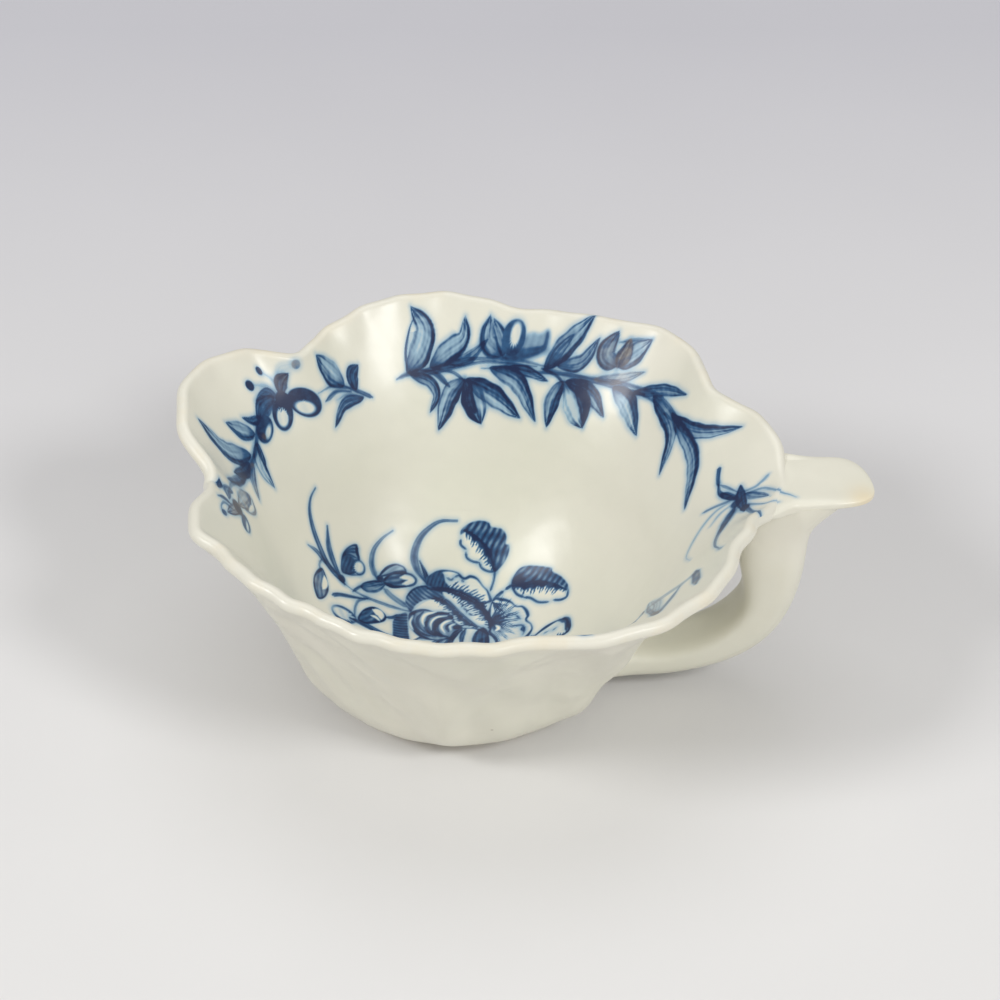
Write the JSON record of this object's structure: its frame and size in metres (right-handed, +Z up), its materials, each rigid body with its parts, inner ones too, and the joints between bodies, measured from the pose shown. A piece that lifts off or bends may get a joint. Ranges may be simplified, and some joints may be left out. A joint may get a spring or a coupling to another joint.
{
  "type": "butter boat",
  "caption": "Leaf-shaped porcelain butter boat with a lobed rim, a pouring lip, a strap loop and a flat thumb rest over it, for serving melted butter or sauce.",
  "frame": {"origin": "middle of the foot's flat base, on the table", "axes": "+X from the pouring lip to the handle, +Z up out of the cup"},
  "size_m": [0.0874, 0.0706, 0.0361],
  "materials": {
    "cup_glaze": "clear warm grey glaze over white paste",
    "handle_glaze": "clear warm grey glaze over white paste",
    "thumb_glaze": "clear warm grey glaze over white paste, worn tan at the tip"
  },
  "bodies": {
    "root": {"leaf_cup": "cup_glaze", "loop_handle": "handle_glaze", "thumb_rest": "thumb_glaze"}
  },
  "joints": []
}
